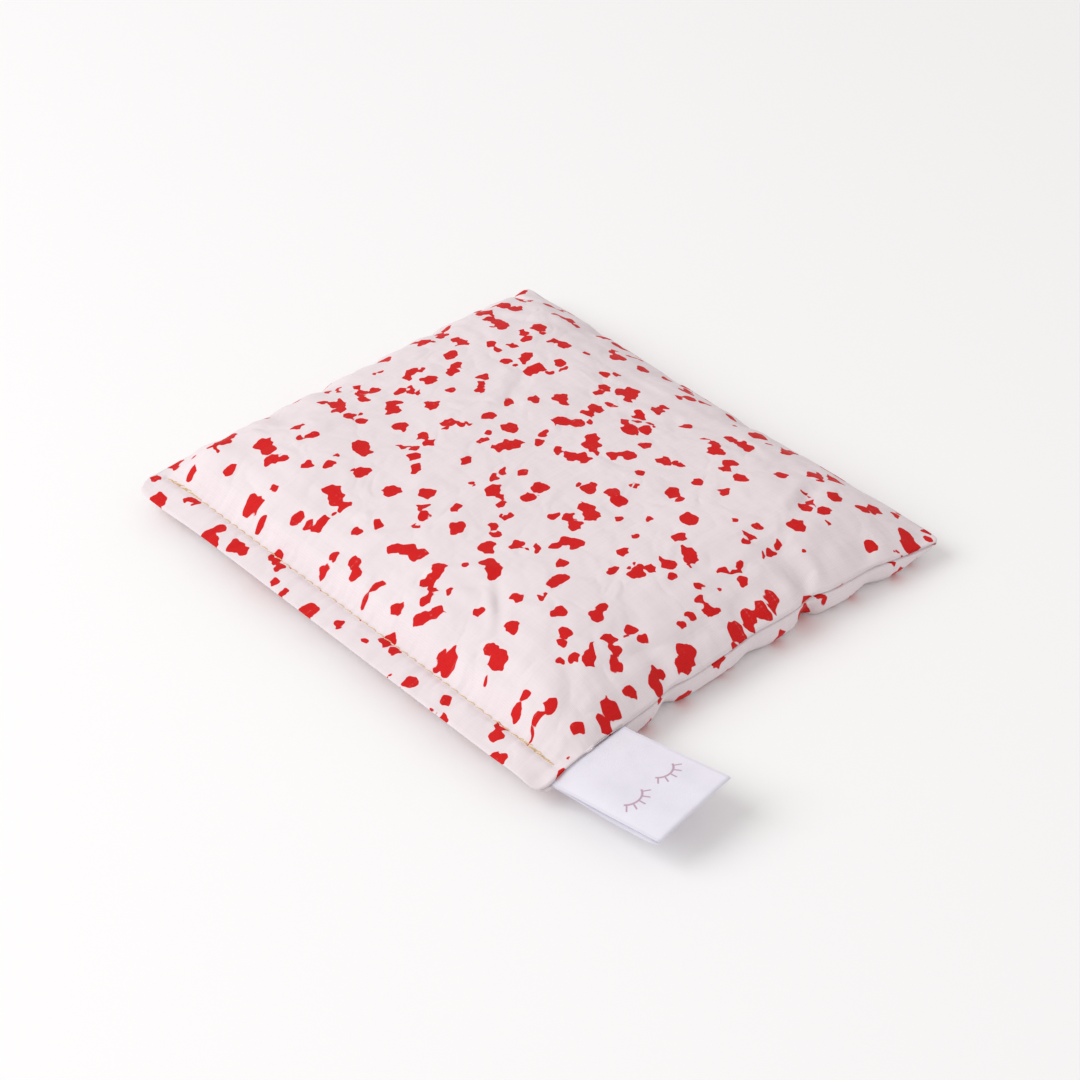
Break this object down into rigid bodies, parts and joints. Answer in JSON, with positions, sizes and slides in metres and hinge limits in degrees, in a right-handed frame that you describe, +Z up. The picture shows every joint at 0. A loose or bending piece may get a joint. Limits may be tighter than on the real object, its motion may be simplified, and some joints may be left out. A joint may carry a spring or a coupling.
{
  "type": "eye pillow",
  "caption": "Small sewn cotton pouch filled with loose grain and lavender, laid over closed eyes, with a folded ribbon label in its side seam.",
  "frame": {"origin": "middle of the flat face that the pillow rests on", "axes": "+Z up through the filling; X across the pillow, from the topstitched closing hem at -X to the far seam; Y along the hem, with the ribbon label on the -Y seam"},
  "size_m": [0.1237, 0.1674, 0.021],
  "materials": {
    "printed_cotton": "plain-weave cotton, off-white with scattered red pebble shapes",
    "ecru_thread": "twisted cotton sewing thread, ecru",
    "satin_ribbon": "white satin ribbon with two small closed eyes printed in pale mauve",
    "grain": "dry grain and lavender buds, matt"
  },
  "bodies": {
    "pouch": {"top_panel": "printed_cotton", "bottom_panel": "printed_cotton", "grain_filling": "grain", "seam_needle_thread": "ecru_thread", "seam_bobbin_thread": "ecru_thread", "closing_needle_thread": "ecru_thread", "closing_bobbin_thread": "ecru_thread", "label_seam_end": "satin_ribbon"},
    "label": {"label_flap": "satin_ribbon"}
  },
  "joints": [
    {"name": "label_fold", "type": "hinge", "parent": "pouch", "child": "label", "pos_m": [-0.04708, -0.06973, 0.007], "axis": [-0.9973, -0.0734, 0], "range_deg": [-17.5, 106], "stiffness_Nm_per_rad": 0.001}
  ]
}
